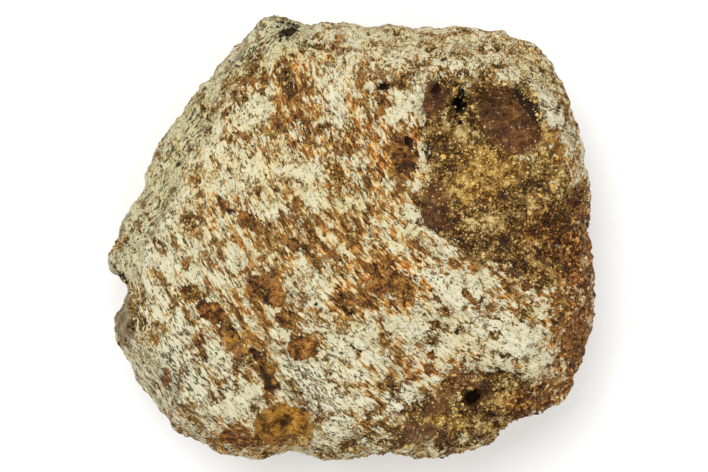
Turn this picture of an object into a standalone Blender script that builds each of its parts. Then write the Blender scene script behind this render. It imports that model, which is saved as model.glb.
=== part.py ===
"""A water-worn section of a Triceratops frill bone, lying on its inner face with the outer face up.

One solid. X runs along the longer side, Y towards the top of the outer face as it is pictured, and Z up.
The origin is the middle of the bounding box, at the resting face.
"""

import math

import bmesh
import bpy
import numpy as np
from mathutils import Vector, noise
from mathutils.bvhtree import BVHTree

MM = 0.001
THICKNESS = 34 * MM
FACE_LEVEL = THICKNESS - 2.5 * MM  # the middle of the outer face, before its lumps

# Cells of the grid that carries the surface: along each side of the outline, and from rim to rim.
CELLS_ALONG = 37
CELLS_UP = 14

# The outline seen from above, anticlockwise from the right, in millimetres from the middle.
OUTLINE = [
    (39.1, 0.0), (39.7, 5.7), (38.9, 10.2), (37.6, 15.4), (36.5, 21.4), (35.1, 25.0), (33.0, 28.6),
    (29.3, 31.5), (25.0, 33.6), (19.6, 34.4), (8.2, 34.8), (2.4, 34.5), (0.3, 35.2), (-4.5, 34.9),
    (-7.3, 34.4), (-9.9, 35.7), (-12.8, 36.6), (-14.8, 35.9), (-16.1, 34.3), (-17.4, 32.1),
    (-20.7, 28.8), (-25.0, 23.5), (-28.1, 19.7), (-30.6, 16.4), (-33.5, 11.2), (-34.6, 7.4),
    (-36.5, 4.2), (-38.3, 0.4), (-40.0, -2.9), (-39.7, -5.5), (-38.2, -6.9), (-36.2, -7.6),
    (-36.2, -8.6), (-37.0, -10.3), (-38.3, -13.8), (-38.2, -17.3), (-37.0, -19.2), (-34.6, -23.8),
    (-31.4, -28.6), (-28.1, -32.1), (-23.3, -33.7), (-19.0, -35.9), (-15.3, -36.5), (-10.4, -35.4),
    (-5.7, -36.1), (-0.9, -36.6), (6.2, -35.4), (11.5, -36.4), (15.8, -36.1), (20.1, -35.0),
    (23.9, -32.3), (27.7, -30.3), (32.0, -28.0), (35.4, -25.8), (36.2, -22.7), (38.4, -17.9),
    (39.9, -12.1), (40.0, -5.0),
]

# The rim by compass angle in degrees: the width of the upper bevel, the height of the widest line, the
# width of the lower bevel (all in millimetres), and how flat the upper bevel is broken, from 0, round, to 1.
RIM = [
    (0, 5.5, 17, 7.0, 0.2),
    (35, 7.0, 19, 7.0, 0.2),
    (65, 8.0, 20, 8.0, 0.4),
    (95, 8.0, 21, 8.0, 0.5),
    (115, 8.5, 22, 10.0, 0.5),
    (145, 8.5, 22, 8.0, 0.8),
    (170, 7.5, 21, 7.5, 0.6),
    (184, 5.5, 23, 9.0, 0.3),
    (197, 4.5, 17, 5.0, 0.5),
    (215, 5.0, 17, 6.0, 0.4),
    (245, 5.5, 19, 8.0, 0.3),
    (275, 4.5, 21, 9.0, 0.4),
    (310, 7.5, 18, 6.5, 0.6),
    (335, 5.5, 18, 7.0, 0.3),
]

# Flat breaks through the sides: compass direction and rise of the way each one faces, in degrees, and how
# deep in millimetres it bites into the widest line.
BREAKS = [
    (147, 40, 0.2),
    (118, -18, 0.6),
    (62, -30, 0.4),
    (18, -14, 0.5),
    (340, 20, 0.4),
    (292, -40, 0.6),
    (250, -16, 0.5),
    (203, -34, 0.4),
    (172, -46, 0.5),
    (318, 32, 0.4),
    (325, -28, 0.4),
    (84, 36, 0.2),
]
BREAK_SOFTNESS = 0.8 * MM
MIDDLE_HEIGHT = 16 * MM

# Lumps (height above 0) and hollows (below 0) of the outer face, in millimetres and degrees:
# name, middle x and y, half length, half width, direction of the length, height.
RELIEF = [
    ("hollow under the rim", 25.5, 17.5, 9.5, 6.5, -25, -3.4),
    ("hollow beside it", 16.5, 20.0, 5.5, 5.0, 60, -1.6),
    ("floor below the hollows", 22.0, 5.0, 13.0, 9.0, -20, -1.7),
    ("rim above the hollow", 26.0, 25.6, 9.0, 2.8, -22, 1.3),
    ("rim at the corner", 32.5, 16.5, 6.5, 3.0, -66, 1.3),
    ("slope to the right edge", 36.0, -1.0, 12.0, 6.0, 95, -1.6),
    ("pale tongue", 22.0, -13.5, 15.0, 5.0, -32, 1.5),
    ("hollow at the lower right", 23.0, -26.5, 10.0, 5.6, 12, -2.8),
    ("hollow at the bottom", -10.5, -31.0, 6.0, 5.0, 20, -2.0),
    ("lip beside it", -2.0, -29.0, 5.0, 3.0, 60, 1.0),
    ("channel, upper end", -22.0, -13.5, 5.0, 3.0, -50, -1.0),
    ("channel, lower end", -13.5, -22.5, 5.5, 2.6, -65, -1.0),
    ("low spot in the middle left", -7.0, -18.5, 3.5, 2.6, -40, -0.8),
    ("knob", -11.5, 31.0, 5.0, 4.2, 40, 2.4),
    ("groove behind the knob", -13.5, 27.0, 7.5, 2.4, 42, -1.3),
    ("nub", -34.5, -3.0, 4.2, 3.6, 70, 1.2),
    ("crown of the face", -8.0, 2.0, 24.0, 16.0, -45, 1.6),
    ("crease along the top", 4.5, 26.5, 7.0, 1.6, -65, -0.8),
]

# Small pits in the outer face, in millimetres and degrees: name, x, y, radius, depth, lean towards, lean.
PITS = [
    ("shaft_in_hollow", 17.8, 22.3, 1.15, 3.6, 250, 14),
    ("hole_at_lower_right", 19.8, -26.4, 1.35, 3.2, 290, 8),
    ("pit_at_edge_of_bone", 9.2, 15.8, 0.95, 1.6, 0, 0),
    ("slot_above_it", 5.4, 24.2, 0.9, 1.4, 0, 0),
    ("hole_behind_knob", -9.6, 33.0, 1.2, 1.8, 0, 0),
]

CROWN_DROP = 3.2 * MM
RIM_LUMPS = 1.5 * MM
FACE_LUMPS = 0.5 * MM
FACE_WAVES = 0.8 * MM
UNDERSIDE_HOLLOWS = 1.8 * MM
FOOT_SPREAD = math.radians(24)
SHOULDER_SPREAD = math.radians(9)
OUTLINE_STEPS = 120
OUTLINE_PASSES = 2
BONE_COLOUR = (0.56, 0.46, 0.29, 1.0)
BONE_ROUGHNESS = 0.78


def around(table, angle):
    """The columns of a table by compass angle, eased between its rows."""
    rows = [*table, (table[0][0] + 360, *table[0][1:])]
    degrees = math.degrees(angle) % 360
    low, high = next((a, b) for a, b in zip(rows, rows[1:]) if a[0] <= degrees <= b[0])
    share = (degrees - low[0]) / (high[0] - low[0])
    ease = share * share * (3 - 2 * share)
    return [a + (b - a) * ease for a, b in zip(low[1:], high[1:])]


def outline_radius(angle, spread=0.0):
    """The outline's distance from the middle, in metres, averaged over `spread` to each side."""
    points = np.array(OUTLINE) * MM
    angles = np.unwrap(np.arctan2(points[:, 1], points[:, 0]))
    radii = np.hypot(points[:, 0], points[:, 1])
    asked = angle + spread * np.linspace(-1, 1, 9)
    return float(np.interp(asked, angles, radii, period=2 * math.pi).mean())


def lumps(x, y, z, size, octaves=4):
    """Fractal noise from about -1 to 1, whose largest lumps are `size` across."""
    return noise.fractal(Vector((x, y, z)) / size, 1.0, 2.0, octaves, noise_basis="PERLIN_NEW")


def bump(x, y, middle_x, middle_y, half_length, half_width, direction):
    """A smooth oval hump that is 1 in the middle and fades out past its half length and width."""
    turn = math.radians(direction)
    dx, dy = x / MM - middle_x, y / MM - middle_y
    along = (dx * math.cos(turn) + dy * math.sin(turn)) / half_length
    across = (dy * math.cos(turn) - dx * math.sin(turn)) / half_width
    return math.exp(-((along**2 + across**2) ** 1.5))


def face_height(x, y):
    """Height of the outer face over the resting face at one place, without its fine lumps."""
    out = min(math.hypot(x, y) / outline_radius(math.atan2(y, x), SHOULDER_SPREAD), 1)
    height = FACE_LEVEL - CROWN_DROP * out**2.2 + FACE_WAVES * lumps(x, y, 0, 26 * MM, 2)
    for _, middle_x, middle_y, half_length, half_width, direction, rise in RELIEF:
        height += rise * MM * bump(x, y, middle_x, middle_y, half_length, half_width, direction)
    return height


def shoulder_radius(angle):
    """How far out the worn face reaches before the upper bevel starts."""
    return outline_radius(angle, SHOULDER_SPREAD) - around(RIM, angle)[0] * MM


def foot_radius(angle):
    """How far out the resting face reaches: a plainer outline, inside the one seen from above."""
    return outline_radius(angle, FOOT_SPREAD) - around(RIM, angle)[2] * MM


def rim_point(share, angle, shoulder_height):
    """(distance out, height) on the side at `share` of the way from the upper rim, 0, to the lower, 1."""
    _, widest, _, flat = around(RIM, angle)
    from_widest = abs(share * 2 - 1)
    widest, radius = widest * MM, outline_radius(angle, FOOT_SPREAD * from_widest**0.7)
    if share <= 0.5:
        part = share * 2
        turn = part * math.pi / 2
        across = (1 - flat) * math.sin(turn) + flat * part
        down = (1 - flat) * (1 - math.cos(turn)) + flat * part
        out = shoulder_radius(angle) + (radius - shoulder_radius(angle)) * across
        return out, shoulder_height - (shoulder_height - widest) * down
    turn = (share * 2 - 1) * math.pi / 2
    out = radius - (radius - foot_radius(angle)) * (1 - math.cos(turn))
    return out, widest * (1 - math.sin(turn))


def place(corner):
    """Where a point of the box from -1 to 1 goes on the stone."""
    a, b, c = corner
    reach = max(abs(a), abs(b))
    angle = math.atan2(b, a)
    if c > 1 - 1e-6:
        out = reach * shoulder_radius(angle)
        x, y = out * math.cos(angle), out * math.sin(angle)
        return Vector((x, y, face_height(x, y)))
    if c < -1 + 1e-6:
        out = reach * foot_radius(angle)
        x, y = out * math.cos(angle), out * math.sin(angle)
        hollow = UNDERSIDE_HOLLOWS * (lumps(x, y, 0, 17 * MM, 2) - 0.05)
        return Vector((x, y, max(hollow, 0) * (1 - reach**6)))
    edge = shoulder_radius(angle)
    rim_height = face_height(edge * math.cos(angle), edge * math.sin(angle))
    out, height = rim_point((1 - c) / 2, angle, rim_height)
    return Vector((out * math.cos(angle), out * math.sin(angle), height))


def break_planes():
    """(way it faces, distance from the middle) of each flat break, just inside the widest line."""
    directions = [2 * math.pi * step / OUTLINE_STEPS for step in range(OUTLINE_STEPS)]
    planes = []
    for direction, rise, bite in BREAKS:
        turn, lift = math.radians(direction), math.radians(rise)
        level = math.cos(lift)
        facing = Vector((math.cos(turn) * level, math.sin(turn) * level, math.sin(lift)))
        reach = max(
            outline_radius(angle) * math.cos(angle - turn) * level
            + (around(RIM, angle)[1] * MM - MIDDLE_HEIGHT) * math.sin(lift)
            for angle in directions
        )
        planes.append((facing, reach - bite * MM))
    return planes


def break_off(point, planes):
    """Brings a point that stands past a flat break back to it, with a slightly rounded edge."""
    for facing, distance in planes:
        past = (point - Vector((0, 0, MIDDLE_HEIGHT))).dot(facing) - distance
        if past > -4 * BREAK_SOFTNESS:
            point = point - facing * BREAK_SOFTNESS * math.log1p(math.exp(past / BREAK_SOFTNESS))
    point.z = max(point.z, 0)
    return point


def box_grid():
    """A cube from -1 to 1 with its edges cut into the grid's cells."""
    grid = bmesh.new()
    bmesh.ops.create_cube(grid, size=2)
    for axis, cells in ((0, CELLS_ALONG), (1, CELLS_ALONG), (2, CELLS_UP)):
        edges = [
            edge
            for edge in grid.edges
            if abs((edge.verts[0].co - edge.verts[1].co)[axis]) > 1e-6
        ]
        bmesh.ops.subdivide_edges(grid, edges=edges, cuts=cells - 1, use_grid_fill=True)
    return grid


def roughen(grid):
    """Pushes the points in and out along their normals: lumps on the face, ledges on the broken rim."""
    grid.normal_update()
    normals = [vert.normal.copy() for vert in grid.verts]
    for vert, normal in zip(grid.verts, normals):
        x, y, z = vert.co
        if z < 0.3 * MM:
            continue
        steep = 1 - abs(normal.z)
        near_foot = min(z / (5 * MM), 1)
        push = FACE_LUMPS * lumps(x, y, z, 9 * MM)
        push += RIM_LUMPS * steep * near_foot * lumps(x + 0.1, y, z * 1.8, 15 * MM)
        vert.co += normal * push
        vert.co.z = max(vert.co.z, 0)


def fit_outline(grid):
    """Stretches the sides in or out in each direction, until the outline from above is the table's."""
    points = np.array([vert.co for vert in grid.verts])
    radii = np.hypot(points[:, 0], points[:, 1])
    angles = np.arctan2(points[:, 1], points[:, 0]) % (2 * math.pi)
    centres = (np.arange(OUTLINE_STEPS) + 0.5) * 2 * math.pi / OUTLINE_STEPS
    bins = (angles / (2 * math.pi) * OUTLINE_STEPS).astype(int) % OUTLINE_STEPS
    reached = np.zeros(OUTLINE_STEPS)
    np.maximum.at(reached, bins, radii)
    wanted = np.array([outline_radius(angle) for angle in centres])
    stretch = np.interp(angles, centres, wanted / reached, period=2 * math.pi)
    share = radii / np.interp(angles, centres, reached, period=2 * math.pi)
    factors = 1 + (stretch - 1) * np.minimum(share, 1) ** 6
    for vert, factor in zip(grid.verts, factors):
        vert.co.x *= factor
        vert.co.y *= factor


def pit_cutter(name, x, y, radius, depth, toward, lean, top, collection):
    """A blunt cone that leans and whose wide end stands clear of the face."""
    clearance = 1.5 * MM
    length = depth * MM + clearance
    bpy.ops.mesh.primitive_cone_add(
        vertices=10,
        radius1=radius * MM * 0.45,
        radius2=radius * MM * 1.25,
        depth=length,
        location=(x * MM, y * MM, top + clearance - length / 2),
        rotation=(0, math.radians(lean), math.radians(toward)),
    )
    cutter = bpy.context.object
    cutter.name = "cutter_" + name
    cutter.hide_render = True
    cutter.display_type = "WIRE"
    for owner in cutter.users_collection:
        owner.objects.unlink(cutter)
    collection.objects.link(cutter)
    return cutter


def bone_material():
    material = bpy.data.materials.new("fossil_bone")
    material.use_nodes = True
    shader = material.node_tree.nodes["Principled BSDF"]
    shader.inputs["Base Color"].default_value = BONE_COLOUR
    shader.inputs["Roughness"].default_value = BONE_ROUGHNESS
    shader.inputs["Metallic"].default_value = 0
    return material


def new_collection(name):
    collection = bpy.data.collections.new(name)
    bpy.context.scene.collection.children.link(collection)
    return collection


def main():
    for old in list(bpy.data.objects):
        bpy.data.objects.remove(old)
    parts = new_collection("triceratops_frill_section")
    cutters = new_collection("cutters")

    grid = box_grid()
    planes = break_planes()
    for vert in grid.verts:
        vert.co = break_off(place(vert.co), planes)
    roughen(grid)
    for _ in range(OUTLINE_PASSES):
        fit_outline(grid)
    surface = BVHTree.FromBMesh(grid)
    mesh = bpy.data.meshes.new("frill_section")
    grid.to_mesh(mesh)
    grid.free()

    section = bpy.data.objects.new("frill_section", mesh)
    parts.objects.link(section)
    section.data.materials.append(bone_material())
    for name, x, y, radius, depth, toward, lean in PITS:
        top = surface.ray_cast(Vector((x * MM, y * MM, 2 * THICKNESS)), Vector((0, 0, -1)))[0].z
        cutter = pit_cutter(name, x, y, radius, depth, toward, lean, top, cutters)
        cut = section.modifiers.new("pit " + name, "BOOLEAN")
        cut.operation = "DIFFERENCE"
        cut.object = cutter

    # The origin goes to the middle of the bounding box, at the resting face.
    points = np.array([vert.co for vert in mesh.vertices])
    middle = (points.max(axis=0) + points.min(axis=0)) / 2
    for piece in (section, *cutters.objects):
        piece.location -= Vector((middle[0], middle[1], 0))
    mesh.shade_smooth()


main()
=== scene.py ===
"""The looks of the frill section: a finely surfaced body over the CAD solid, and the sand cemented to it."""

import math
from itertools import combinations
from types import SimpleNamespace

import bpy
import numpy as np
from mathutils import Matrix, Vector, noise


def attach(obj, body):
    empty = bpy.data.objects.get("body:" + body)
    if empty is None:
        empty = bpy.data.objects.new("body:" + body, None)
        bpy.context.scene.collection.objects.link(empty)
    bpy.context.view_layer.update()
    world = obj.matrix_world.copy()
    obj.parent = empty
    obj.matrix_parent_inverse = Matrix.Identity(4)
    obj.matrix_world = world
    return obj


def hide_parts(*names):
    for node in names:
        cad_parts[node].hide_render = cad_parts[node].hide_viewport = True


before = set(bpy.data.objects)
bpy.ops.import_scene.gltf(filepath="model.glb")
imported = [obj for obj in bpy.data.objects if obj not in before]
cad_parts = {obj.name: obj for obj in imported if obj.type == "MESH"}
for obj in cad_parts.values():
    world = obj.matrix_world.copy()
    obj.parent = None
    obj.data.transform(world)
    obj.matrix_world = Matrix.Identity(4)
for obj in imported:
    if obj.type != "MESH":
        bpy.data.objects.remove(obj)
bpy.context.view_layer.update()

MM = 0.001
SEED = 7

# The photograph's frame: how many millimetres a pixel covers, the pixel over the origin and the size.
PIXEL = 0.165
MIDDLE = (350.3, 236.6)
FRAME_WIDTH = 708
FRAME_HEIGHT = 472

# The bone's fibres follow circles about this point, in millimetres. Lengths along them are true at the
# distance MEAN_ARC.
FIBRE_CENTRE = (65.0, 47.3)
MEAN_ARC = 73.0

# The even mesh over the solid: its cells, and how often it is smoothed.
VOXEL = 0.45 * MM
SMOOTHING = 12

# The face turns into the lower sides between these heights. What stays under RESTING_TOP lies on the floor.
# All in millimetres, as are the noises, the relief and the grains below.
SIDE_TOP = 19
SIDE_BOTTOM = 9
RESTING_TOP = 0.05

# The noises over the mesh: (size, octaves, seed). The sizes of the streaks and slivers are across, along and
# up the bone's fibres.
RAGGED = (3.2, 4, 1)
FINE_RAGGED = (1.1, 2, 2)
STREAKS = ((1.3, 4.5, 1.3), 3, 3)
SLIVERS = ((0.9, 2.6, 0.9), 2, 4)
BROAD = (9.0, 3, 5)
LUMPY = (2.4, 4, 6)
ROUGH = (5.0, 5, 7)

# Relief: how far the bone's streaks, slivers and fine lumps stand up, how far each other surface lies back,
# and how far the lumps of the sand and of the sides stand up.
BONE_RISE = 0.15
STREAK_RELIEF = 0.26
SLIVER_RELIEF = 0.30
FINE_RELIEF = 0.12
STAIN_SINK = 0.26
OCHRE_SINK = 0.2
SAND_SINK = 0.36
UMBER_SINK = 0.42
DARK_SINK = 0.2
SAND_LUMPS = 0.5
SAND_FINE_LUMPS = 0.35
SIDE_LUMPS = 0.6
SIDE_SMALL_LUMPS = 0.25
UNDERSIDE_PLAINER = 0.6

# The grains: how many, the middle and spread of their radii, the least and the largest, how far out of the
# surface each one's centre is in radii, how far it strays, how uneven and how stretched it is, and the height
# that they start at. Few lie on bare or brown bone.
GRAINS = 9000
GRAIN_RADIUS = 0.19
GRAIN_SPREAD = 0.42
GRAIN_LIMITS = (0.1, 0.5)
GRAIN_CENTRE = (-0.7, 0.1)
GRAIN_DEEPER_ON_SIDES = 0.4
GRAIN_STRAY = 0.2
GRAIN_LUMPS = (0.7, 1.2)
GRAIN_STRETCH = (0.55, 1.3)
GRAINS_FROM = 0.8
ON_BARE_BONE = 0.02
OFF_UMBER = 0.93

# The fields that the bone's material reads from its mesh.
FIELDS = "sand stain white red umber ochre dark bevel grey yellow paint worn".split()

# The material's noises by the size of their lumps in millimetres: (size, detail, roughness).
FINE = (0.22, 2, 0.7)
GRIT = (0.5, 2, 0.6)
BLOTCH = (1.6, 3, 0.6)
PATCH = (4.0, 3, 0.6)

# The sizes of the bone's cells across, along and up its fibres, in millimetres.
SLIVER_CELL = (0.4, 1.2, 0.4)
FLAKE_CELL = (0.75, 2.1, 0.75)
CRUMB_CELL = (0.33, 0.85, 0.33)
SPECK_CELL = (0.18, 0.5, 0.18)
BEVEL_SPECK_CELL = (1.3, 0.3, 0.3)
VEIN_CELL = (2.4, 6.5, 2.4)
VESSEL_CELL = (1.5, 4.2, 1.5)
GRAIN_CELL = 0.44
BEVEL_TURN = math.radians(-50)
BUMP_HEIGHT = 0.16 * MM

# Colours: runs of (position, sRGB from 0 to 255), and single ones.
CLEAN_BONE = [
    (0.12, (52, 48, 34)),
    (0.28, (96, 88, 60)),
    (0.38, (142, 134, 102)),
    (0.48, (184, 175, 140)),
    (0.58, (200, 192, 158)),
    (0.72, (206, 200, 170)),
    (0.92, (214, 210, 186)),
]
RUSTY_BONE = [
    (0.08, (46, 26, 10)),
    (0.24, (82, 54, 21)),
    (0.38, (118, 78, 31)),
    (0.50, (152, 101, 42)),
    (0.64, (182, 135, 68)),
    (0.80, (204, 168, 104)),
    (0.95, (214, 192, 144)),
]
WORN_BONE = [
    (0.2, (62, 50, 31)),
    (0.4, (106, 90, 62)),
    (0.6, (138, 122, 90)),
    (0.85, (178, 166, 134)),
]
PAINTED_BONE = [
    (0.15, (34, 20, 8)),
    (0.35, (64, 37, 14)),
    (0.48, (102, 61, 22)),
    (0.62, (142, 91, 34)),
    (0.85, (176, 130, 64)),
]
BROWN_BONE = [
    (0.2, (36, 21, 7)),
    (0.38, (66, 40, 16)),
    (0.52, (88, 56, 27)),
    (0.66, (112, 76, 41)),
    (0.85, (150, 116, 72)),
]
OCHRE_CRUST = [
    (0.2, (56, 32, 8)),
    (0.38, (104, 68, 18)),
    (0.55, (148, 101, 32)),
    (0.75, (182, 134, 54)),
    (0.9, (204, 168, 92)),
]
SAND_GRAINS = [
    (0.12, (30, 16, 3)),
    (0.30, (76, 48, 13)),
    (0.44, (112, 79, 30)),
    (0.58, (142, 107, 48)),
    (0.74, (172, 138, 74)),
    (0.92, (212, 186, 130)),
]
VESSEL = [(0.35, (70, 42, 22)), (0.65, (130, 88, 48))]
CHARCOAL_SPECK = (50, 47, 34)
RUSTY_SPECK = (78, 46, 18)
VEIN = (78, 50, 24)
# The painted shade in the gaps between sand grains.
PAINTED_GAP_SHADE = (40, 25, 9)
GLINT = (184, 158, 112)
SHADOWED = (34, 21, 9)

# The floor, lamps and camera, in metres and watts.
FLOOR_SIZE = 6
PAPER = 0.96
AIM = Vector((0, 0, 0.02))
LAMPS = {
    "key": {"place": (-0.25, 0.4, 0.9), "size": 0.8, "watts": 7},
    "fill": {"place": (0.4, -0.4, 0.9), "size": 1.0, "watts": 3.5},
}
WORLD_STRENGTH = 0.68
LENS = 250
SENSOR = 36
PLANE = 18 * MM


# Ovals on the outer face, placed on the photograph. Each is a middle, a half length and a half width in
# pixels, the direction of the length in degrees, and a strength: (x, y, half length, half width, direction,
# strength).
SAND = [
    (505, 205, 86, 58, -8, 1.2),
    (540, 246, 42, 36, -50, 1.1),
    (452, 140, 30, 52, 0, 1.2),
    (502, 122, 50, 38, -52, 1.2),
    (470, 84, 34, 8, 5, 0.6),
    (478, 405, 62, 36, 8, 1.3),
    (436, 427, 42, 25, 10, 1.1),
    (395, 447, 70, 8, 0, 0.6),
]
RED = [
    (555, 235, 40, 46, -60, 1.0),
    (582, 280, 26, 105, 4, 1.3),
    (535, 402, 56, 24, 36, 0.9),
    (545, 370, 40, 18, -30, 0.6),
    (440, 372, 26, 14, 10, 0.8),
    (400, 150, 30, 36, 60, 0.6),
    (390, 275, 46, 34, 20, 0.7),
    (575, 380, 14, 40, 30, 0.7),
]
UMBER = [
    (508, 122, 38, 27, -52, 1.3),
    (434, 98, 13, 18, 0, 0.9),
    (436, 208, 15, 27, 0, 0.8),
    (465, 372, 18, 10, 20, 0.5),
    (420, 434, 30, 12, 0, 0.6),
    (462, 398, 34, 14, 10, 0.25),
]
OCHRE = [
    (283, 425, 31, 25, 20, 1.3),
    (486, 172, 40, 26, 15, 0.55),
    (436, 418, 10, 15, 0, 0.9),
    (499, 400, 12, 8, 0, 0.7),
    (458, 424, 14, 9, 20, 0.6),
    (530, 396, 12, 7, 20, 0.4),
    (240, 340, 13, 9, -40, 0.9),
    (462, 192, 16, 14, 0, 0.5),
    (554, 148, 10, 15, 0, 0.45),
]
RUST = [
    (300, 104, 46, 24, -72, 0.5),
    (296, 118, 26, 12, -60, 0.35),
    (246, 84, 9, 7, 0, 0.8),
    (264, 92, 6, 9, 0, 0.9),
    (250, 140, 16, 9, -35, 0.7),
    (246, 217, 42, 17, -32, 0.9),
    (292, 240, 26, 14, -40, 0.7),
    (208, 112, 6, 13, 0, 0.6),
    (194, 172, 12, 9, -60, 0.6),
    (270, 290, 22, 15, -25, 1.1),
    (287, 317, 14, 9, -55, 0.9),
    (304, 346, 17, 14, 0, 1.1),
    (212, 311, 18, 11, -25, 1.3),
    (222, 330, 22, 9, -50, 1.0),
    (192, 292, 9, 10, 0, 0.9),
    (268, 366, 12, 26, 20, 1.1),
    (206, 346, 26, 7, -62, 0.8),
    (188, 268, 8, 8, 0, 0.7),
    (240, 438, 24, 11, -15, 1.1),
    (305, 425, 8, 24, 10, 0.8),
    (170, 378, 7, 9, 0, 0.7),
    (188, 405, 11, 7, -30, 0.7),
    (216, 414, 10, 5, -20, 0.7),
    (390, 282, 56, 34, 12, 1.0),
    (398, 160, 38, 32, 65, 0.9),
    (345, 240, 32, 16, -45, 0.5),
    (372, 120, 20, 14, 60, 0.5),
    (508, 306, 22, 12, -30, 0.7),
    (330, 300, 24, 8, -60, 0.5),
    (380, 400, 26, 5, -58, 0.7),
    (362, 424, 18, 4, -62, 0.5),
    (300, 62, 24, 10, 5, 0.4),
    (455, 36, 30, 5, -6, 0.3),
    (574, 248, 26, 66, 2, 1.5),
    (567, 345, 26, 60, 14, 1.8),
    (540, 402, 50, 22, 36, 1.2),
    (345, 180, 20, 10, -55, 0.4),
    (468, 297, 17, 3.6, -50, 1.3),
    (441, 304, 15, 3.6, -50, 1.3),
    (436, 321, 4, 5, 0, 1.2),
    (430, 352, 4, 6, 0, 1.0),
]
# Patches where the stain lies on the bone like paint.
PAINT = [
    (270, 290, 24, 14, -25, 1.0),
    (287, 317, 14, 8, -55, 1.0),
    (304, 346, 16, 13, 0, 1.0),
    (212, 311, 17, 11, -25, 1.5),
    (233, 335, 16, 8, -52, 1.0),
    (192, 292, 9, 9, 0, 1.0),
    (268, 370, 10, 26, 18, 1.2),
    (262, 358, 16, 7, 0, 1.0),
    (206, 352, 22, 3.5, -62, 1.0),
    (254, 353, 13, 6, -15, 1.0),
    (240, 438, 22, 9, -15, 0.9),
    (305, 425, 7, 22, 10, 0.9),
    (188, 268, 6, 6, 0, 0.7),
    (298, 108, 34, 7, -72, 0.4),
    (246, 217, 32, 9, -32, 0.7),
    (292, 242, 20, 6, -40, 0.5),
    (246, 84, 8, 6, 0, 0.8),
    (264, 92, 5, 8, 0, 0.9),
    (250, 140, 12, 5, -35, 0.6),
    (392, 284, 30, 12, 12, 0.5),
    (404, 160, 14, 20, 20, 0.6),
    (380, 112, 12, 8, 40, 0.5),
    (506, 304, 14, 5, -30, 0.5),
    (170, 378, 5, 7, 0, 0.6),
    (468, 297, 14, 2.8, -50, 2.2),
    (441, 304, 12, 2.6, -50, 2.0),
    (436, 322, 3, 4, 0, 2.2),
    (430, 352, 3, 5, 10, 2.0),
    (455, 330, 6, 2.2, -50, 1.8),
    (188, 405, 8, 5, -30, 0.6),
]
# Painted shade: near-black in the holes and pits and under the rim of the upper right hollow. These places are
# sunk a little too.
PAINTED_SHADE = [
    (290, 34, 7, 4, 20, 1.3),
    (186, 291, 5, 4, 0, 0.8),
    (384, 89, 9, 3.5, 10, 1.2),
    (437, 92, 5, 5, 0, 1.2),
    (460, 105, 6, 12, 0, 1.6),
    (408, 143, 5, 4, 0, 1.2),
    (526, 106, 25, 8, -48, 1.3),
    (472, 394, 4, 2.4, 20, 1.0),
    (492, 414, 12, 4, -20, 0.8),
    (205, 111, 3, 3, 0, 1.0),
    (190, 146, 2.5, 3, 0, 1.0),
    (180, 165, 3, 3, 0, 1.2),
    (163, 167, 2.5, 2.5, 0, 1.0),
    (166, 182, 2.5, 4, 0, 1.0),
    (284, 421, 6, 3, -20, 0.8),
    (268, 376, 5, 16, 20, 0.5),
    (255, 349, 5, 3, -40, 0.7),
]
WHITE = [
    (404, 112, 20, 15, 60, 1.3),
    (386, 183, 15, 9, -45, 1.3),
    (414, 157, 12, 8, -20, 1.1),
    (418, 222, 20, 11, -38, 1.3),
    (419, 190, 7, 7, 0, 1.0),
    (395, 247, 15, 7, -20, 1.0),
    (365, 277, 6, 5, 0, 1.1),
    (382, 278, 8, 6, 0, 1.0),
    (401, 401, 19, 22, 0, 3.6),
    (450, 290, 50, 21, -30, 2.6),
    (502, 336, 58, 29, -26, 2.6),
    (425, 330, 42, 24, -28, 1.9),
    (536, 314, 12, 16, 0, 0.8),
    (254, 116, 20, 18, 0, 2.2),
    (213, 142, 16, 26, 20, 1.5),
    (252, 172, 30, 15, -45, 2.2),
    (298, 172, 30, 18, -40, 2.0),
    (336, 108, 12, 24, 12, 1.6),
    (312, 195, 20, 9, -45, 1.4),
    (225, 190, 20, 8, -50, 1.2),
    (345, 250, 14, 7, -50, 1.2),
    (342, 82, 9, 12, 0, 0.8),
    (348, 200, 10, 12, 0, 0.7),
    (540, 97, 26, 8, -38, 1.1),
    (555, 122, 24, 11, -68, 1.7),
    (500, 76, 18, 6, 0, 0.8),
    (572, 142, 10, 20, 75, 0.8),
    (216, 348, 16, 11, -45, 1.6),
    (196, 390, 18, 12, -30, 1.5),
    (238, 392, 28, 14, -50, 1.6),
    (312, 285, 26, 14, -55, 1.5),
    (320, 390, 26, 22, -55, 0.7),
    (160, 300, 26, 14, -55, 0.7),
    (180, 330, 24, 14, -55, 0.7),
    (520, 432, 44, 9, 28, 0.9),
    (352, 340, 28, 22, -50, 1.5),
    (420, 45, 110, 18, -3, 0.4),
    (172, 352, 74, 48, -50, 1.2),
    (325, 388, 50, 38, -50, 1.2),
    (170, 230, 60, 40, 50, 0.4),
]
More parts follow.
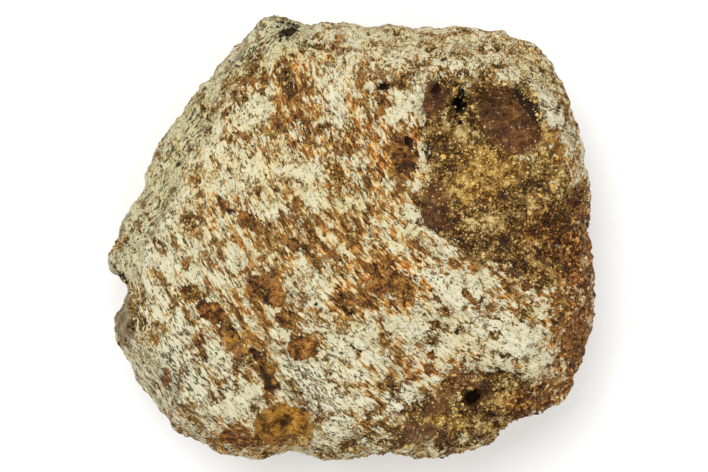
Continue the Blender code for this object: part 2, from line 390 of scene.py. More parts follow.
GREY = [
    (446, 258, 12, 8, 0, 1.6),
    (367, 130, 10, 10, 0, 1.5),
    (421, 303, 13, 8, -10, 1.5),
    (265, 215, 14, 7, -30, 1.4),
    (368, 301, 9, 8, 0, 1.5),
    (270, 384, 8, 10, 0, 1.4),
    (370, 228, 16, 12, -50, 1.6),
    (300, 225, 22, 14, -50, 1.2),
    (240, 110, 12, 12, 0, 1.0),
    (250, 58, 44, 13, 42, 4.0),
    (284, 28, 18, 12, 0, 4.0),
    (262, 34, 24, 20, 40, 2.6),
    (190, 130, 60, 20, 62, 1.2),
    (160, 210, 46, 26, 60, 1.5),
    (175, 240, 30, 24, 0, 1.3),
    (180, 370, 66, 48, -50, 3.4),
    (150, 330, 44, 28, -60, 1.5),
    (340, 150, 28, 20, -60, 1.5),
    (355, 178, 18, 16, -60, 1.6),
    (290, 138, 30, 8, 10, 0.7),
    (330, 330, 50, 24, -50, 1.2),
    (310, 390, 50, 36, -60, 3.6),
    (420, 300, 16, 10, -20, 1.0),
    (395, 347, 16, 9, 0, 1.0),
    (410, 336, 14, 8, 0, 0.8),
    (400, 395, 20, 22, 0, 1.1),
    (560, 118, 24, 14, -50, 0.8),
    (520, 432, 44, 10, 28, 0.9),
    (200, 430, 60, 14, -28, 1.0),
    (128, 258, 22, 20, 0, 1.4),
    (572, 285, 24, 110, 4, 1.4),
    (540, 402, 50, 20, 36, 1.5),
    (460, 48, 90, 14, -6, 0.5),
    (340, 425, 54, 24, 0, 1.2),
]
YELLOW = [
    (305, 62, 44, 14, 8, 0.8),
    (420, 45, 100, 16, -3, 0.9),
    (530, 62, 36, 18, -30, 1.0),
    (200, 200, 30, 60, 0, 0.5),
    (262, 170, 70, 60, -50, 0.5),
    (350, 200, 60, 70, 0, 0.55),
    (255, 135, 22, 14, -30, 0.6),
    (150, 345, 24, 14, -60, 0.6),
    (455, 330, 40, 10, -28, 0.5),
    (340, 300, 20, 40, 0, 0.4),
]

# The slanting faces at the upper left and around the knob: browner bone, and darker as painted shade.
BEVEL = [
    (258, 58, 52, 15, 42, 1.0),
    (276, 36, 32, 22, 10, 1.3),
    (190, 125, 70, 15, 62, 1.0),
    (150, 205, 60, 20, 66, 1.0),
    (126, 254, 22, 22, 0, 1.0),
]

# The smooth brown-grey face under the nub.
WORN = [
    (127, 318, 10, 36, 8, 1.2),
    (122, 296, 8, 16, 0, 1.0),
]

# Holes that go deeper than the solid's: the same numbers, with a depth in millimetres as the last.
HOLES = [
    (460, 104, 10, 5, 84, 3.0),
    (436, 92, 5, 5, 0, 1.2),
    (408, 143, 5, 4, 0, 1.2),
    (384, 89, 8, 4, 8, 1.2),
    (471, 396, 3.8, 2.8, 20, 1.7),
    (492, 414, 10, 4, -20, 0.8),
    (289, 34, 9, 5, 30, 1.8),
    (180, 165, 3.2, 3.2, 0, 0.8),
    (284, 421, 6, 4, -20, 0.8),
    (255, 349, 7, 5, 0, 0.6),
    (468, 297, 15, 3.4, -50, 0.5),
    (441, 304, 13, 3.4, -50, 0.5),
    (436, 321, 4, 5, 0, 0.5),
    (430, 352, 4, 5, 0, 0.5),
    (245, 390, 20, 2.6, -55, 0.4),
    (126, 279, 8, 3, -50, 1.2),
]

# Where the outline stands out from the solid's or back from it: the same numbers, with millimetres outwards as
# the last.
BULGES = [
    (482, 446, 24, 24, 0, 0.9),
    (560, 395, 44, 44, 0, 0.95),
    (588, 345, 40, 40, 0, 0.8),
    (594, 280, 26, 26, 0, 0.4),
    (592, 193, 22, 22, 0, 0.4),
    (517, 40, 26, 26, 0, 0.7),
    (428, 26, 24, 24, 0, -0.7),
    (138, 198, 20, 20, 0, -0.6),
    (226, 453, 20, 20, 0, 0.9),
    (352, 22, 20, 20, 0, 0.3),
]


def srgb(*rgb):
    """The linear colour of three sRGB numbers from 0 to 255."""
    parts = [c / 255 for c in rgb]
    return (*[c / 12.92 if c <= 0.04045 else ((c + 0.055) / 1.055) ** 2.4 for c in parts], 1.0)


# Fields over the surface


def on_face(pixel_x, pixel_y):
    """Millimetres from the origin of a pixel of the photograph."""
    return (pixel_x - MIDDLE[0]) * PIXEL, (MIDDLE[1] - pixel_y) * PIXEL


def oval(points, pixel_x, pixel_y, half_length, half_width, direction):
    """Distance from an oval's middle, which is 1 at its edge."""
    middle = on_face(pixel_x, pixel_y)
    turn = math.radians(direction)
    dx, dy = points[:, 0] - middle[0], points[:, 1] - middle[1]
    along = (dx * math.cos(turn) + dy * math.sin(turn)) / (half_length * PIXEL)
    across = (dy * math.cos(turn) - dx * math.sin(turn)) / (half_width * PIXEL)
    return np.hypot(along, across)


def patches(points, places, edge=None):
    """
    How far inside the nearest of these places each point is: 0 at its edge, up to its strength inside and
    down to -1 outside. It takes the whole oval to get there, or `edge` millimetres.
    """
    field = np.full(len(points), -1.0)
    for *shape, strength in places:
        inside = 1 - oval(points, *shape)
        if edge:
            inside = np.clip(inside * min(shape[2:4]) * PIXEL / edge, -1, 1)
        field = np.maximum(field, strength * inside)
    return field


def eased(values, low, high):
    """0 at low, 1 at high and smooth between them. low may be the larger."""
    share = np.clip((values - low) / (high - low), 0, 1)
    return share * share * (3 - 2 * share)


def fractal(points, size, octaves, seed):
    """Fractal noise of about -0.7 to 0.7, whose largest lumps have this size, or these three sizes."""
    shift = Vector((seed * 17.31, seed * 5.77, seed * 31.13))
    return np.array([noise.fractal(Vector(p) + shift, 1.0, 2.0, octaves) for p in points / size])


def fibre_places(points):
    """(across, along, up) of each point in the bone's fibres, in millimetres."""
    dx, dy = FIBRE_CENTRE[0] - points[:, 0], FIBRE_CENTRE[1] - points[:, 1]
    return np.stack([np.hypot(dx, dy), np.arctan2(dy, dx) * MEAN_ARC, points[:, 2]], axis=1)


def noises_over(points, fibre):
    """The noises that the fields and the relief are made of."""
    return SimpleNamespace(
        ragged=fractal(points, *RAGGED),
        fine=fractal(points, *FINE_RAGGED),
        streaks=fractal(fibre, *STREAKS),
        slivers=fractal(fibre, *SLIVERS),
        broad=fractal(points, *BROAD),
        lumpy=fractal(points, *LUMPY),
        rough=fractal(points, *ROUGH),
    )


def facing_of(points, normals):
    """How steep each point is, how far down the sides, how far underneath, and how far on the sandy side."""
    angle = np.arctan2(points[:, 1], points[:, 0])
    return SimpleNamespace(
        steep=eased(1 - np.abs(normals[:, 2]), 0.15, 0.6),
        below=eased(points[:, 2], SIDE_TOP, SIDE_BOTTOM),
        under=eased(-normals[:, 2], 0.3, 0.8),
        matrix_side=np.cos(angle + 0.1),
    )


def fields_over(points, n, facing):
    """Where each kind of surface is: 0 at its ragged edge, more inside and less outside."""
    side = facing.matrix_side

    def spread(places, sideways, low=-0.8, edge=None):
        """The places' field on the face, and on the lower sides a field of its own."""
        field = np.clip(patches(points, places, edge), low, 3.0)
        return field * (1 - facing.below) + sideways * facing.below

    sand = spread(SAND, 1.2 * side - 1.2 + 1.2 * n.broad, -1, 2.2)
    sand += 0.8 * n.ragged + 0.45 * n.fine + 0.3 * n.streaks + 0.3 * n.broad
    white = spread(WHITE, -0.4 - n.broad)
    bevel = spread(BEVEL, -0.2 - 0.6 * side, -1) + 0.2 * n.ragged
    rust = spread(RUST, 1.2 * n.broad - 0.2, -0.35)
    stain = 0.5 * rust - 0.42 * white + 0.34 * n.streaks + 0.5 * n.slivers + 0.42 * n.ragged
    stain = stain + 0.45 * n.fine + 0.15 * n.broad
    stain -= 0.5 * eased(bevel, -0.3, 0.2)
    return SimpleNamespace(
        sand=sand,
        white=white,
        bevel=bevel,
        stain=stain,
        red=spread(RED, 1.5 * side - 0.8) + 0.5 * n.ragged,
        paint=spread(PAINT, -0.7 + 0.8 * n.broad, -1, 1.0) + 0.5 * n.ragged + 0.35 * n.fine,
        umber=spread(UMBER, -0.6 + 0.9 * n.rough, -1, 1.2) + 0.5 * n.fine + 0.3 * n.ragged,
        ochre=spread(OCHRE, -0.65 - 1.2 * n.rough, -0.8, 1.6) + 0.5 * n.ragged + 0.4 * n.fine,
        dark=spread(PAINTED_SHADE, -0.6 + 0.7 * n.rough, -0.8, 0.8) + 0.4 * n.fine,
        worn=spread(WORN, 1.4 * n.broad - 0.45 - 0.3 * side, -1, 1.2) + 0.5 * n.ragged + 0.4 * n.fine,
        grey=spread(GREY, 0.1 - 0.6 * side) + 0.6 * n.ragged,
        yellow=spread(YELLOW, -0.2 + n.broad) + 0.6 * n.ragged,
    )


def hole_depths(points, normals, n):
    """How deep the holes go at each point, in millimetres."""
    depth = np.zeros(len(points))
    for *shape, deep in HOLES:
        distance = oval(points, *shape) * (1 + 0.9 * n.fine)
        depth = np.maximum(depth, deep * np.exp(-(distance**3)) * (normals[:, 2] > 0.1))
    return depth


def relief_over(points, n, facing, fields, in_sand, in_umber):
    """How far out of the smooth surface each point stands, in millimetres."""
    in_ochre = eased(fields.ochre, 0.05, 0.4)
    bare = (1 - in_sand) * (1 - in_umber) * (1 - 0.5 * eased(fields.paint, -0.1, 0.2))
    relief = BONE_RISE + bare * (STREAK_RELIEF * n.streaks + SLIVER_RELIEF * n.slivers + FINE_RELIEF * n.fine)
    relief -= bare * (STAIN_SINK * eased(fields.stain, 0, 0.35) + OCHRE_SINK * in_ochre)
    relief -= SAND_SINK * in_sand + UMBER_SINK * in_umber + DARK_SINK * eased(fields.dark, 0, 0.6)
    relief += in_sand * (1 - in_umber) * (SAND_LUMPS * n.lumpy + SAND_FINE_LUMPS * n.fine)
    relief += facing.steep * (SIDE_LUMPS * n.rough + SIDE_SMALL_LUMPS * n.lumpy)
    for *shape, push in BULGES:
        relief += facing.steep * push * np.exp(-oval(points, *shape) ** 2)
    return relief * (1 - UNDERSIDE_PLAINER * facing.under)


# The body


def even_surface(node):
    """A fine, even mesh over a CAD node, with its facets smoothed away."""
    body = bpy.data.objects.new("frill_body", node.data.copy())
    bpy.context.scene.collection.objects.link(body)
    remesh = body.modifiers.new("even mesh", "REMESH")
    remesh.mode = "VOXEL"
    remesh.voxel_size = VOXEL
    smooth = body.modifiers.new("no facets", "SMOOTH")
    smooth.iterations = SMOOTHING
    smooth.factor = 0.5
    graph = bpy.context.evaluated_depsgraph_get()
    mesh = bpy.data.meshes.new_from_object(body.evaluated_get(graph))
    body.modifiers.clear()
    body.data = mesh
    mesh.materials.clear()
    return body


def read_points(mesh):
    """The vertices' places in millimetres."""
    numbers = np.empty(len(mesh.vertices) * 3)
    mesh.vertices.foreach_get("co", numbers)
    return numbers.reshape(-1, 3) / MM


def read_normals(mesh):
    """The vertices' normals, smoothed over the faces around them."""
    numbers = np.empty(len(mesh.vertices) * 3)
    mesh.vertex_normals.foreach_get("vector", numbers)
    return numbers.reshape(-1, 3)


def store(mesh, name, values):
    """Keeps one number, or three, per vertex, for the material to read."""
    if values.ndim == 1:
        layer = mesh.attributes.new(name, "FLOAT", "POINT")
        layer.data.foreach_set("value", values.astype(np.float32))
    else:
        layer = mesh.attributes.new(name, "FLOAT_VECTOR", "POINT")
        layer.data.foreach_set("vector", values.astype(np.float32).ravel())


def roughened_body(node):
    """The body with its relief, and what the grains need to know of it."""
    body = even_surface(node)
    mesh = body.data
    points, normals = read_points(mesh), read_normals(mesh)
    fibre = fibre_places(points)
    n = noises_over(points, fibre)
    facing = facing_of(points, normals)
    fields = fields_over(points, n, facing)
    depth = hole_depths(points, normals, n)
    in_sand, in_umber = eased(fields.sand, -0.12, 0.12), eased(fields.umber, -0.1, 0.15)

    moved = points + normals * relief_over(points, n, facing, fields, in_sand, in_umber)[:, None]
    moved[:, 2] -= depth
    moved[:, 2] = np.where(points[:, 2] < RESTING_TOP, points[:, 2], np.maximum(moved[:, 2], 0))
    mesh.vertices.foreach_set("co", (moved * MM).ravel())
    mesh.update()
    mesh.shade_smooth()

    # Painted shade: the deeper a hole goes, the darker it is coloured.
    fields.dark = np.maximum(fields.dark, eased(depth, 0.2, 1.2) * 1.5 - 0.5)
    for name, values in vars(fields).items():
        store(mesh, name, values)
    store(mesh, "fibre", fibre)

    grainy = in_sand * (1 - OFF_UMBER * in_umber) + ON_BARE_BONE * eased(fields.sand, -0.6, 0)
    grainy *= 1 - 0.75 * facing.below - 0.2 * facing.under
    grainy *= 1 - 0.8 * eased(depth, 0.2, 0.8)
    return body, SimpleNamespace(grainy=grainy, steep=facing.steep, red=fields.red, ochre=fields.ochre)


# Materials


class Shader:
    """Builds one material from nodes. Lengths are in millimetres."""

    def __init__(self, name):
        self.material = bpy.data.materials.new(name)
        self.material.use_nodes = True
        self.tree = self.material.node_tree
        self.surface = self.tree.nodes["Principled BSDF"]

    def node(self, kind, inputs, output=0, **settings):
        made = self.tree.nodes.new("ShaderNode" + kind)
        for key, value in settings.items():
            setattr(made, key, value)
        for key, value in inputs.items():
            self.feed(made.inputs[key], value)
        return made.outputs[output]

    def feed(self, socket, value):
        if isinstance(value, bpy.types.NodeSocket):
            self.tree.links.new(value, socket)
        else:
            socket.default_value = value

    def number(self, name):
        return self.node("Attribute", {}, "Fac", attribute_name=name)

    def vector(self, name):
        return self.node("Attribute", {}, "Vector", attribute_name=name)

    def place(self):
        """The point's place in millimetres."""
        place = self.node("TexCoord", {}, "Object")
        return self.node("VectorMath", {0: place, "Scale": 1 / MM}, operation="SCALE")

    def math(self, operation, a, b=0.0):
        return self.node("Math", {0: a, 1: b}, operation=operation)

    def times(self, a, b):
        return self.math("MULTIPLY", a, b)

    def minus(self, a, b):
        return self.math("SUBTRACT", a, b)

    def level(self, base, *parts):
        """base plus (number, weight) parts, where a number of 0.5 adds nothing."""
        total = None
        for number, weight in parts:
            part = self.node("Math", {0: number, 1: weight, 2: -0.5 * weight}, operation="MULTIPLY_ADD")
            total = part if total is None else self.math("ADD", total, part)
        return self.math("ADD", total, base)

    def step(self, value, low, high):
        """0 at low, 1 at high and smooth between them. low may be the larger."""
        if low < high:
            inputs = {"Value": value, "From Min": low, "From Max": high}
        else:
            inputs = {"Value": value, "From Min": high, "From Max": low, "To Min": 1.0, "To Max": 0.0}
        return self.node("MapRange", inputs, interpolation_type="SMOOTHSTEP")

    def shrunk(self, vector, sizes):
        return self.node("VectorMath", {0: vector, 1: sizes}, operation="DIVIDE")

    def shaken(self, vector, size, amount):
        """The vector moved about by noise of this size."""
        shake = self.node("TexNoise", {"Vector": vector, "Scale": 1 / size, "Detail": 1.0}, "Color")
        inputs = {0: shake, 1: (amount,) * 3, 2: (-amount / 2,) * 3}
        shake = self.node("VectorMath", inputs, operation="MULTIPLY_ADD")
        return self.node("VectorMath", {0: vector, 1: shake}, operation="ADD")

    def noise(self, vector, size=1.0, detail=3.0, roughness=0.5, distortion=0.0):
        inputs = {"Scale": 1 / size, "Detail": detail, "Roughness": roughness, "Distortion": distortion}
        return self.node("TexNoise", {"Vector": vector, **inputs}, "Fac")

    def cells(self, vector, size=1.0):
        """Distance from the middle of a cell, and two random numbers of the cell."""
        distance = self.node("TexVoronoi", {"Vector": vector, "Scale": 1 / size}, "Distance")
        colour = self.node("SeparateColor", {0: distance.node.outputs["Color"]})
        return distance, colour, colour.node.outputs[1]

    def ramp(self, value, stops):
        """A colour that runs through (position, sRGB colour) stops."""
        made = self.tree.nodes.new("ShaderNodeValToRGB")
        elements = made.color_ramp.elements
        while len(elements) < len(stops):
            elements.new(0.5)
        for element, (position, colour) in zip(elements, stops):
            element.position = position
            element.color = srgb(*colour)
        self.feed(made.inputs[0], value)
        return made.outputs[0]

    def mix(self, factor, a, b, blend="MIX"):
        return self.node("Mix", {0: factor, 6: a, 7: b}, 2, data_type="RGBA", blend_type=blend)

    def tint(self, factor, colour, by):
        """Multiplies a colour by another that is given as three shares."""
        return self.mix(factor, colour, (*by, 1.0), "MULTIPLY")


def sand_colour(s, n, random, second, red, ochre):
    """A grain's colour, from its random numbers and the place it is in."""
    value = s.level(0.52, (random, 0.58), (n.blotch, 1.4), (n.patch, 1.2), (n.fine, 1.1))
    value = s.minus(value, s.times(red, 0.09))
    golden = s.step(s.level(ochre, (n.blotch, 1.2), (random, 0.4)), -0.25, 0.35)
    value = s.math("ADD", value, s.times(golden, 0.18))
    colour = s.ramp(value, SAND_GRAINS)
    hue = s.level(second, (n.patch, 1.6), (n.blotch, 0.8))
    colour = s.tint(s.step(hue, 0.55, 0.95), colour, (0.88, 0.97, 0.98))
    colour = s.tint(s.step(hue, 0.45, 0.1), colour, (1.12, 0.97, 0.68))
    colour = s.tint(golden, colour, (1.04, 0.98, 0.74))
    return s.tint(s.step(red, -0.1, 0.7), colour, (0.98, 0.72, 0.5))


def bone_noises(s):
    """The noises and cells that the layers of the bone's material share."""
    fibre, place = s.vector("fibre"), s.place()
    flaked = s.shaken(s.shaken(s.shrunk(fibre, FLAKE_CELL), 1.2, 0.8), 0.3, 0.3)
    _, flake, flake_hue = s.cells(flaked)
    _, crumb, crumb_hue = s.cells(s.shaken(s.shrunk(fibre, CRUMB_CELL), 1.0, 0.6))
    grain_distance, grain_random, grain_second = s.cells(s.shaken(place, 0.8, 0.25), GRAIN_CELL)
    return SimpleNamespace(
        fibre=fibre,
        place=place,
        fine=s.noise(place, *FINE),
        grit=s.noise(place, *GRIT),
        blotch=s.noise(place, *BLOTCH),
        patch=s.noise(place, *PATCH),
        sliver=s.noise(s.shrunk(fibre, SLIVER_CELL), 1, 3, 0.65, 0.7),
        flaked=flaked,
        flake=flake,
        flake_hue=flake_hue,
        crumb=crumb,
        crumb_hue=crumb_hue,
        grain_distance=grain_distance,
        grain_random=grain_random,
        grain_second=grain_second,
    )


def clean_bone(s, n, f, between):
    """Cream flakes, with painted shade darkening the gaps between them."""
    tone = s.level(0.64, (n.sliver, 0.5), (n.fine, 0.8), (n.flake_hue, 0.16), (n.crumb_hue, 0.22))
    tone = s.math("ADD", tone, s.times(f.white, 0.05))
    # Painted shade in the gaps between flakes.
    tone = s.minus(tone, s.times(between, 0.14))
    yellow = s.level(s.times(f.yellow, 0.35), (n.blotch, 0.8), (n.flake_hue, 0.3), (n.patch, 0.5))
    return s.tint(s.step(yellow, -0.1, 0.2), s.ramp(tone, CLEAN_BONE), (1.0, 0.94, 0.78))


def rusty_bone(s, n, f, depth):
    """Tan to dark brown flakes, browner in some blotches and more orange in others."""
    hues = ((n.crumb_hue, 0.42), (n.flake_hue, 0.2))
    shade = s.level(0.585, *hues, (n.sliver, 0.5), (n.fine, 0.7), (n.patch, 0.3))
    shade = s.minus(shade, s.times(s.step(depth, 0.0, 0.8), 0.3))
    shade = s.minus(shade, s.times(s.step(f.red, 0.1, 0.9), 0.05))
    browner = s.step(s.level(n.blotch, (n.crumb, 0.2)), 0.5, 0.62)
    rust = s.tint(browner, s.ramp(shade, RUSTY_BONE), (0.76, 0.88, 0.88))
    oranger = s.step(s.level(s.times(f.red, 0.2), (n.patch, 1.0), (n.crumb, 0.3)), -0.08, 0.1)
    return s.tint(oranger, rust, (1.16, 0.94, 0.66))


def flaky_bone(s, n, f):
    """Clean and stained flakes, painted shade in the gaps tinted like stain, and yellowed bone at the stain's
    edges.
    """
    edge = s.node("TexVoronoi", {"Vector": n.flaked, "Scale": 1.0}, "Distance", feature="DISTANCE_TO_EDGE")
    # Painted shade along the gaps between flakes: it darkens clean bone and pulls the gaps towards the stain's
    # colours.
    between = s.step(s.level(edge, (n.grit, 0.3)), 0.1, 0.04)
    cells = ((n.flake, 0.55), (n.crumb, 0.5))
    noises = ((n.sliver, 0.7), (n.grit, 0.5), (n.fine, 0.4), (n.blotch, 0.3))
    depth = s.level(s.times(f.stain, 0.62), *cells, *noises)
    depth = s.math("ADD", depth, s.times(between, 0.2))
    clean = clean_bone(s, n, f, between)
    colour = s.mix(s.step(depth, 0.01, 0.09), clean, s.tint(1.0, clean, (0.98, 0.86, 0.62)))
    colour = s.mix(s.step(depth, 0.09, 0.17), colour, rusty_bone(s, n, f, depth))
    # The slanting faces: browner, and darker as painted shade.
    return s.tint(s.step(s.level(f.bevel, (n.patch, 0.6)), -0.15, 0.25), colour, (0.91, 0.9, 0.8))


def specks(s, n, f, colour):
    """Charcoal and rusty specks along the fibres, and along the slanting face on that."""
    slant = s.node("VectorRotate", {"Vector": n.place, "Angle": BEVEL_TURN}, rotation_type="Z_AXIS")
    along_bevel = s.shrunk(s.shaken(slant, 3.0, 1.5), BEVEL_SPECK_CELL)
    along_fibre = s.shrunk(n.fibre, SPECK_CELL)
    inputs = {0: s.step(f.bevel, -0.1, 0.2), 4: along_fibre, 5: along_bevel}
    distance, random, _ = s.cells(s.shaken(s.node("Mix", inputs, 1, data_type="VECTOR"), 1.0, 0.6))
    share = s.math("ADD", s.level(s.times(f.grey, 0.15), (n.blotch, 1.2), (n.patch, 0.8)), 0.18)
    speck = s.step(s.minus(random, share), 0.02, 0.0)
    speck = s.times(speck, s.step(s.level(distance, (n.grit, 0.8)), 0.62, 0.5))
    kind = s.level(s.times(f.stain, 0.5), (n.patch, 1.2), (n.blotch, 0.8), (n.flake, 0.3))
    speck_colour = s.mix(s.step(kind, 0.01, 0.17), srgb(*CHARCOAL_SPECK), srgb(*RUSTY_SPECK))
    return s.mix(s.times(speck, 0.92), colour, speck_colour), speck


def worn_face(s, n, f, colour):
    """The smooth brown-grey bone under the nub."""
    worn_colour = s.ramp(s.level(0.5, (n.sliver, 0.8), (n.fine, 0.9), (n.blotch, 1.0)), WORN_BONE)
    worn = s.step(s.level(f.worn, (n.grit, 1.0), (n.sliver, 1.0)), -0.05, 0.3)
    return s.mix(s.times(worn, 0.85), colour, worn_colour)


def paint(s, n, f, colour):
    """Stain that lies on the bone, darker along its edge."""
    painted = s.level(f.paint, (n.grit, 0.9), (n.crumb, 0.4), (n.sliver, 1.2), (n.fine, 0.5))
    tone = s.level(0.5, (n.blotch, 2.0), (n.grit, 0.7), (n.fine, 0.8), (n.crumb_hue, 0.16))
    paints = s.ramp(s.minus(tone, s.times(s.step(painted, 0.5, 0.0), 0.12)), PAINTED_BONE)
    paints = s.tint(s.step(n.patch, 0.5, 0.6), paints, (0.96, 1.06, 0.9))
    return s.mix(s.step(painted, 0.0, 0.12), colour, paints)


def veins(s, n, colour):
    """Thin brown cracks, in some patches."""
    vein = s.noise(s.shaken(s.shrunk(n.fibre, VEIN_CELL), 0.7, 0.35), 1, 2, 0.5, 0.5)
    vein = s.step(s.math("ABSOLUTE", s.minus(vein, 0.5)), 0.016, 0.006)
    vein = s.times(vein, s.step(s.level(n.patch, (n.grit, 0.8)), 0.5, 0.58))
    return s.mix(s.times(vein, 0.8), colour, srgb(*VEIN))


def vessels(s, n, colour):
    """The open canals of the bone's vessels."""
    distance, random, _ = s.cells(s.shaken(s.shrunk(n.fibre, VESSEL_CELL), 1.0, 0.5))
    vessel = s.times(s.step(s.level(distance, (n.grit, 0.25)), 0.2, 0.12), s.step(random, 0.34, 0.3))
    return s.mix(s.times(vessel, 0.9), colour, s.ramp(n.fine, VESSEL)), vessel


def cemented_sand(s, n, f, colour):
    """The matrix between the separate grains, with painted shade in the gaps between them in some patches."""
    matrix = sand_colour(s, n, n.grain_random, n.grain_second, f.red, f.ochre)
    # Painted shade in the gaps between the grains, in some patches.
    gappy = s.step(s.level(n.patch, (n.blotch, 0.9), (f.ochre, 0.1)), 0.62, 0.42)
    gap_shade = s.times(s.step(n.grain_distance, 0.28, 0.6), gappy)
    matrix = s.mix(s.times(gap_shade, 0.85), matrix, srgb(*PAINTED_GAP_SHADE))
    edge = s.level(f.sand, (n.grit, 0.9), (n.fine, 0.6), (n.flake, 0.7), (n.crumb, 0.6))
    sanded = s.step(edge, -0.05, 0.05)
    return s.mix(sanded, colour, matrix), sanded


def ochre_crust(s, n, f, colour, sanded):
    """Golden crust on the bone, and thinner on the sand."""
    tone = s.level(0.5, (n.fine, 1.0), (n.grit, 1.0), (n.blotch, 1.4), (n.patch, 0.5))
    crust = s.ramp(tone, OCHRE_CRUST)
    crust = s.tint(s.times(sanded, s.step(n.grain_random, 0.4, 0.9)), crust, (0.6, 0.56, 0.5))
    ochred = s.step(s.level(f.ochre, (n.grit, 1.4), (n.fine, 0.9), (n.blotch, 1.6)), -0.1, 0.35)
    ochred = s.times(ochred, s.minus(1.0, s.times(sanded, 0.6)))
    return s.mix(ochred, colour, crust)


def brown_bone(s, n, f, colour):
    """The smooth umber bone in the hollows, with a few pale glints."""
    tone = s.level(0.5, (n.grit, 0.7), (n.fine, 0.8), (n.blotch, 1.0), (n.patch, 0.5))
    brown = s.tint(s.step(n.patch, 0.42, 0.6), s.ramp(tone, BROWN_BONE), (1.08, 0.94, 0.8))
    chosen = s.step(s.level(n.grain_random, (n.patch, 0.8)), 0.82, 0.85)
    brown = s.mix(s.times(s.step(n.grain_distance, 0.34, 0.28), chosen), brown, srgb(*GLINT))
    browned = s.step(s.level(f.umber, (n.grit, 1.6), (n.fine, 0.9), (n.blotch, 1.6)), -0.15, 0.45)
    return s.mix(browned, colour, brown), browned


def shadowed(s, n, f, colour):
    """Painted shade: the near-black insides of holes and pits, and the shadow under the rim of the upper right
    hollow.
    """
    darkness = s.step(s.level(f.dark, (n.grit, 1.2), (n.fine, 0.6)), 0.0, 0.35)
    return s.mix(s.times(darkness, 0.92), colour, srgb(*SHADOWED))


def bone_material():
    """The bone and the cemented sand, layer over layer."""
    s = Shader("fossil_bone")
    f = SimpleNamespace(**{name: s.number(name) for name in FIELDS})
    n = bone_noises(s)
    colour = flaky_bone(s, n, f)
    colour, speck = specks(s, n, f, colour)
    colour = worn_face(s, n, f, colour)
    colour = paint(s, n, f, colour)
    colour = veins(s, n, colour)
    colour, vessel = vessels(s, n, colour)
    colour, sanded = cemented_sand(s, n, f, colour)
    colour = ochre_crust(s, n, f, colour, sanded)
    colour, browned = brown_bone(s, n, f, colour)
    s.feed(s.surface.inputs["Base Color"], shadowed(s, n, f, colour))
    roughness = s.math("ADD", s.level(s.times(browned, -0.2), (n.grit, 0.3)), 0.72)
    s.feed(s.surface.inputs["Roughness"], roughness)

    grainy = s.times(s.step(n.grain_distance, 0.6, 0.1), sanded)
    height = s.level(grainy, (n.sliver, 0.8), (n.fine, 0.6), (n.grit, 0.5))
    height = s.minus(height, s.times(s.math("MAXIMUM", speck, vessel), 0.5))
    bump = s.node("Bump", {"Strength": 0.9, "Distance": BUMP_HEIGHT, "Height": height})
    s.feed(s.surface.inputs["Normal"], bump)
    s.surface.inputs["Specular IOR Level"].default_value = 0.15
    return s.material


def grain_material():
    """The separate grains, in the colours of the cemented sand."""
    s = Shader("sand_grains")
    place = s.place()
    fine, blotch, patch = (s.noise(place, *size) for size in (FINE, BLOTCH, PATCH))
    n = SimpleNamespace(fine=fine, blotch=blotch, patch=patch)
    numbers = [s.number(name) for name in ("random", "second", "red", "ochre")]
    s.feed(s.surface.inputs["Base Color"], sand_colour(s, n, *numbers))
    s.surface.inputs["Roughness"].default_value = 0.5
    s.surface.inputs["Specular IOR Level"].default_value = 0.3
    return s.material


def dress(piece, material):
    piece.data.materials.append(material)
    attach(piece, "root")
    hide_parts("frill_section")


# The grains, half sunk in the sand


def icosahedron():
    """Twelve corners, at a distance of 1 from the middle, and the faces."""
    golden = (1 + math.sqrt(5)) / 2
    corners = []
    for a in (-1, 1):
        for b in (-golden, golden):
            corners += [(0, a, b), (a, b, 0), (b, 0, a)]
    corners = np.array(corners) / math.hypot(1, golden)
    edge = min(np.linalg.norm(corners[0] - c) for c in corners[1:]) * 1.05
    faces = []
    for i, j, k in combinations(range(len(corners)), 3):
        a, b, c = corners[[i, j, k]]
        if max(np.linalg.norm(a - b), np.linalg.norm(b - c), np.linalg.norm(a - c)) < edge:
            outward = np.dot(np.cross(b - a, c - a), a) > 0
            faces.append((i, j, k) if outward else (i, k, j))
    return corners, np.array(faces)


def random_turns(chance, count):
    """Rotation matrices from random quaternions."""
    q = chance.normal(size=(count, 4))
    w, x, y, z = (q / np.linalg.norm(q, axis=1, keepdims=True)).T
    rows = [
        [1 - 2 * (y * y + z * z), 2 * (x * y - z * w), 2 * (x * z + y * w)],
        [2 * (x * y + z * w), 1 - 2 * (x * x + z * z), 2 * (y * z - x * w)],
        [2 * (x * z - y * w), 2 * (y * z + x * w), 1 - 2 * (x * x + y * y)],
    ]
    return np.moveaxis(np.array(rows), 2, 0)


def first_corners(mesh):
    """The first vertex of each face."""
    first = np.empty(len(mesh.polygons), dtype=np.int32)
    mesh.polygons.foreach_get("loop_start", first)
    corner = np.empty(len(mesh.loops), dtype=np.int32)
    mesh.loops.foreach_get("vertex_index", corner)
    return corner[first]


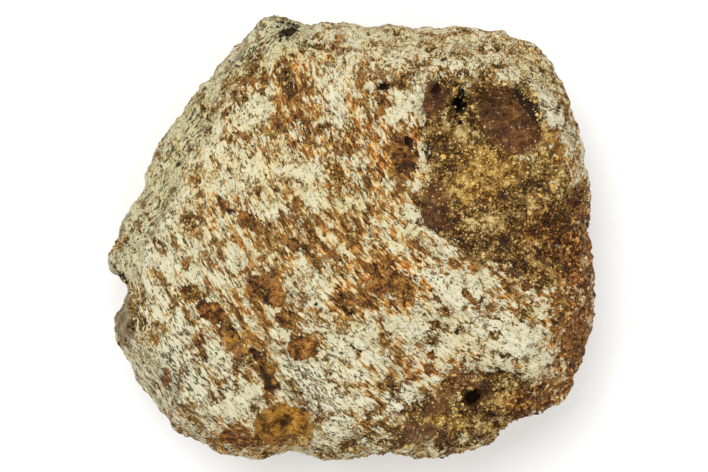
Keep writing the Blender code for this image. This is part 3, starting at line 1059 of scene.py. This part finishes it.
def grains_on(mesh, surface):
    """One mesh of angular grains, most of them where the surface is sandy."""
    chance = np.random.default_rng(SEED)
    points, normals = read_points(mesh), read_normals(mesh)
    near = first_corners(mesh)
    wanted = surface.grainy[near] * (points[near, 2] > GRAINS_FROM)
    chosen = near[np.argsort(chance.random(len(near)) / np.maximum(wanted, 1e-6))[:GRAINS]]
    radius = np.clip(chance.lognormal(math.log(GRAIN_RADIUS), GRAIN_SPREAD, GRAINS), *GRAIN_LIMITS)
    out = chance.uniform(*GRAIN_CENTRE, GRAINS) - GRAIN_DEEPER_ON_SIDES * surface.steep[chosen]
    centres = points[chosen] + normals[chosen] * (radius * out)[:, None]
    centres += chance.uniform(-GRAIN_STRAY, GRAIN_STRAY, (GRAINS, 3))

    corners, faces = icosahedron()
    lumps = corners[None] * chance.uniform(*GRAIN_LUMPS, (GRAINS, len(corners), 1))
    lumps = lumps * chance.uniform(*GRAIN_STRETCH, (GRAINS, 1, 3))
    lumps = np.einsum("nij,nkj->nki", random_turns(chance, GRAINS), lumps) * radius[:, None, None]
    vertices = (centres[:, None] + lumps).reshape(-1, 3)
    vertices[:, 2] = np.maximum(vertices[:, 2], RESTING_TOP)
    faces = (faces[None] + len(corners) * np.arange(GRAINS)[:, None, None]).reshape(-1, 3)
    made = bpy.data.meshes.new("matrix_grains")
    made.from_pydata((vertices * MM).tolist(), [], faces.tolist())
    for name, values in {
        "random": chance.random(GRAINS),
        "second": chance.random(GRAINS),
        "red": surface.red[chosen],
        "ochre": surface.ochre[chosen],
    }.items():
        store(made, name, np.repeat(values, len(corners)))
    piece = bpy.data.objects.new("matrix_grains", made)
    bpy.context.scene.collection.objects.link(piece)
    return piece


# The floor, light and camera


def paper_floor():
    """A large plain sheet at the stone's foot."""
    bpy.ops.mesh.primitive_plane_add(size=FLOOR_SIZE, location=(0, 0, 0))
    floor = bpy.context.object
    floor.name = "floor"
    s = Shader("paper")
    s.surface.inputs["Base Color"].default_value = (PAPER, PAPER, PAPER, 1)
    s.surface.inputs["Roughness"].default_value = 0.9
    floor.data.materials.append(s.material)
    return floor


def lamp(name, place, size, watts):
    """A square soft lamp that faces the stone."""
    light = bpy.data.lights.new(name, "AREA")
    light.size = size
    light.energy = watts
    made = bpy.data.objects.new(name, light)
    made.location = place
    made.rotation_euler = (AIM - Vector(place)).to_track_quat("-Z", "Y").to_euler()
    bpy.context.scene.collection.objects.link(made)


def studio():
    """The lamps and an even white surround."""
    for name, settings in LAMPS.items():
        lamp(name, **settings)
    world = bpy.data.worlds.new("studio")
    world.use_nodes = True
    background = world.node_tree.nodes["Background"].inputs
    background["Color"].default_value = (1, 1, 1, 1)
    background["Strength"].default_value = WORLD_STRENGTH
    bpy.context.scene.world = world
    bpy.context.scene.view_settings.view_transform = "Standard"


def camera_above():
    """
    A camera over the photograph's middle. Its frame is FRAME_WIDTH pixels of PIXEL millimetres wide at the
    height PLANE, between the widest line and the outer face.
    """
    camera = bpy.data.objects.new("camera", bpy.data.cameras.new("camera"))
    bpy.context.scene.collection.objects.link(camera)
    camera.data.lens = LENS
    camera.data.sensor_width = SENSOR
    x, y = on_face(FRAME_WIDTH / 2, FRAME_HEIGHT / 2)
    camera.location = (x * MM, y * MM, PLANE + FRAME_WIDTH * PIXEL * MM * LENS / SENSOR)
    camera.data.clip_end = 10
    return camera


body, surface = roughened_body(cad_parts["frill_section"])
dress(body, bone_material())
dress(grains_on(body.data, surface), grain_material())

floor = paper_floor()
studio()
bpy.context.scene.camera = camera_above()
